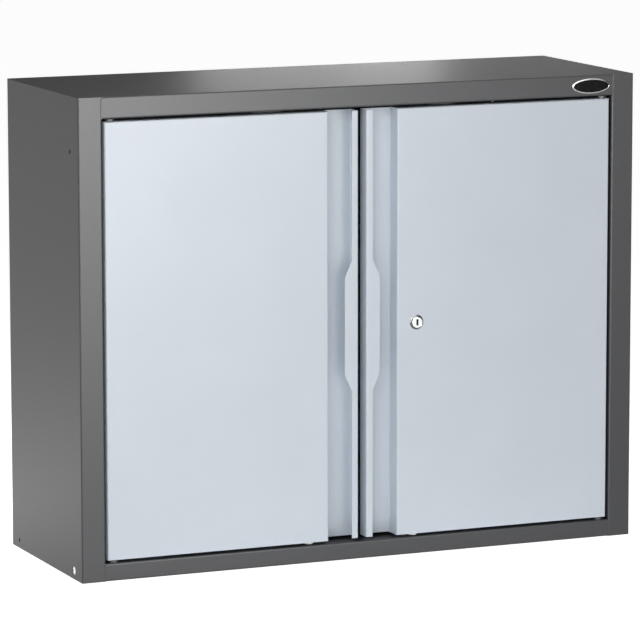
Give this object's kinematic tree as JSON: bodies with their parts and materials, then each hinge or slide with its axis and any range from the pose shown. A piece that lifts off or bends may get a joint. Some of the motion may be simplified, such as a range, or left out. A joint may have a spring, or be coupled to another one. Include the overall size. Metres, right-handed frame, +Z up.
{
  "type": "two-door wall tool cabinet",
  "caption": "Wall tool cabinet of folded sheet steel with hinged doors, recessed finger grips, a key lock that drives lock rods, and slotted shelves.",
  "frame": {"origin": "middle of the base, on the surface that the cabinet stands on", "axes": "+X to the viewer's right across the doors, +Y from the doors to the back, +Z up"},
  "size_m": [0.88, 0.3083, 0.7],
  "materials": {
    "carcass_paint": "satin",
    "door_paint": "satin",
    "zinc_steel": "satin",
    "dark_steel": "satin",
    "chrome": "polished",
    "nylon": "matte",
    "black_plastic": "matte",
    "magnet": "matte",
    "badge_face": "gloss"
  },
  "bodies": {
    "cabinet": {"left_side_panel": "carcass_paint", "right_side_panel": "carcass_paint", "top_panel": "carcass_paint", "floor_panel": "carcass_paint", "back_panel": "carcass_paint", "upper_wall_rail": "carcass_paint", "lower_wall_rail": "carcass_paint", "left_front_shelf_standard": "carcass_paint", "left_rear_shelf_standard": "carcass_paint", "right_front_shelf_standard": "carcass_paint", "right_rear_shelf_standard": "carcass_paint", "upper_shelf": "carcass_paint", "lower_shelf": "carcass_paint", "upper_shelf_clips": "zinc_steel", "lower_shelf_clips": "zinc_steel", "left_upper_hinge_plate": "carcass_paint", "left_lower_hinge_plate": "carcass_paint", "right_upper_hinge_plate": "carcass_paint", "right_lower_hinge_plate": "carcass_paint", "left_upper_hinge_pin": "dark_steel", "left_lower_hinge_pin": "dark_steel", "right_upper_hinge_pin": "dark_steel", "right_lower_hinge_pin": "dark_steel", "hinge_rivets": "carcass_paint", "left_catch_housing": "black_plastic", "right_catch_housing": "black_plastic", "catch_magnets": "magnet", "catch_screws": "zinc_steel", "badge_rim": "chrome", "badge_plate": "badge_face"},
    "left_door": {"left_door_skin": "door_paint", "left_door_stiffener": "door_paint", "left_upper_bush": "black_plastic", "left_lower_bush": "black_plastic", "left_door_glide": "nylon", "left_strike_plate": "zinc_steel", "left_strike_rivets": "zinc_steel"},
    "right_door": {"right_door_skin": "door_paint", "right_door_stiffener": "door_paint", "right_upper_bush": "black_plastic", "right_lower_bush": "black_plastic", "right_door_glide": "nylon", "right_strike_plate": "zinc_steel", "right_strike_rivets": "zinc_steel", "lock_barrel": "chrome", "lock_nut": "zinc_steel", "upper_rod_guide": "nylon", "lower_rod_guide": "nylon"},
    "lock_cylinder": {"lock_plug": "chrome", "lock_cam": "zinc_steel", "cam_screw": "zinc_steel"},
    "upper_rod": {"upper_lock_rod": "zinc_steel"},
    "lower_rod": {"lower_lock_rod": "zinc_steel"}
  },
  "joints": [
    {"name": "left_door_hinge", "type": "hinge", "parent": "cabinet", "child": "left_door", "pos_m": [-0.39, -0.1445, 0.34725], "axis": [0, 0, -1], "range_deg": [0, 110]},
    {"name": "right_door_hinge", "type": "hinge", "parent": "cabinet", "child": "right_door", "pos_m": [0.39, -0.1445, 0.34725], "axis": [0, 0, 1], "range_deg": [0, 110]},
    {"name": "lock_turn", "type": "hinge", "parent": "right_door", "child": "lock_cylinder", "pos_m": [0.08595, -0.1359, 0.34725], "axis": [0, -1, 0], "range_deg": [0, 90]},
    {"name": "upper_rod_slide", "type": "slide", "parent": "right_door", "child": "upper_rod", "axis": [0, 0, 1], "range_m": [0, 0.0198]},
    {"name": "lower_rod_slide", "type": "slide", "parent": "right_door", "child": "lower_rod", "axis": [0, 0, -1], "range_m": [0, 0.0198]}
  ],
  "couplings": [
    {"joint": "lock_turn", "follows": "upper_rod_slide", "rad_per_m": 79.33},
    {"joint": "lower_rod_slide", "follows": "upper_rod_slide", "ratio": 1}
  ]
}
